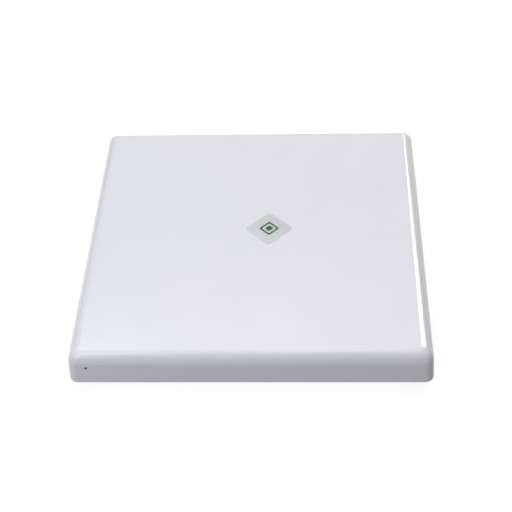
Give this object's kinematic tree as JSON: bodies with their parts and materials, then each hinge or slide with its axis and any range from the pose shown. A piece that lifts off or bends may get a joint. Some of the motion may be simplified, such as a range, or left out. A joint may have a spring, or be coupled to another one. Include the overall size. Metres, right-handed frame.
{
  "type": "security gate antenna panel",
  "caption": "Square flat antenna panel with a white rolled-edge cover, an off-centre domed badge, and mounting studs and a coaxial jack on its back.",
  "frame": {"origin": "under the middle of the panel, level with the tips of the mounting studs", "axes": "+Z out of the face, +X to the right seen from the front wall, -Y out of the front wall, which has the weep hole near its left end"},
  "size_m": [0.445, 0.445, 0.062],
  "materials": {
    "radome": "gloss",
    "badge_film": "satin",
    "badge_dome": "clear gloss",
    "rim_gasket": "foam",
    "back_plate": "brushed",
    "cover_screws": "satin",
    "rating_label": "matte",
    "patch_front_left": "brushed",
    "patch_front_right": "brushed",
    "patch_rear_left": "brushed",
    "patch_rear_right": "brushed",
    "patch_posts": "turned",
    "post_screws_rear": "satin",
    "post_screws_front": "satin",
    "patch_spacers": "satin nylon",
    "feed_strip": "rolled",
    "feed_screws": "satin",
    "feed_nuts": "satin",
    "strip_supports": "satin nylon",
    "jack_body": "satin nickel",
    "jack_insulator": "waxy",
    "jack_contact": "gold plated",
    "jack_gasket": "matte",
    "jack_screws": "satin",
    "mounting_studs": "zinc plated"
  },
  "bodies": {
    "root": {"radome": "radome", "badge_film": "badge_film", "badge_dome": "badge_dome", "rim_gasket": "rim_gasket", "back_plate": "back_plate", "cover_screws": "cover_screws", "rating_label": "rating_label", "patch_front_left": "patch_front_left", "patch_front_right": "patch_front_right", "patch_rear_left": "patch_rear_left", "patch_rear_right": "patch_rear_right", "patch_posts": "patch_posts", "post_screws_rear": "post_screws_rear", "post_screws_front": "post_screws_front", "patch_spacers": "patch_spacers", "feed_strip": "feed_strip", "feed_screws": "feed_screws", "feed_nuts": "feed_nuts", "strip_supports": "strip_supports", "jack_body": "jack_body", "jack_insulator": "jack_insulator", "jack_contact": "jack_contact", "jack_gasket": "jack_gasket", "jack_screws": "jack_screws", "mounting_studs": "mounting_studs"}
  },
  "joints": []
}
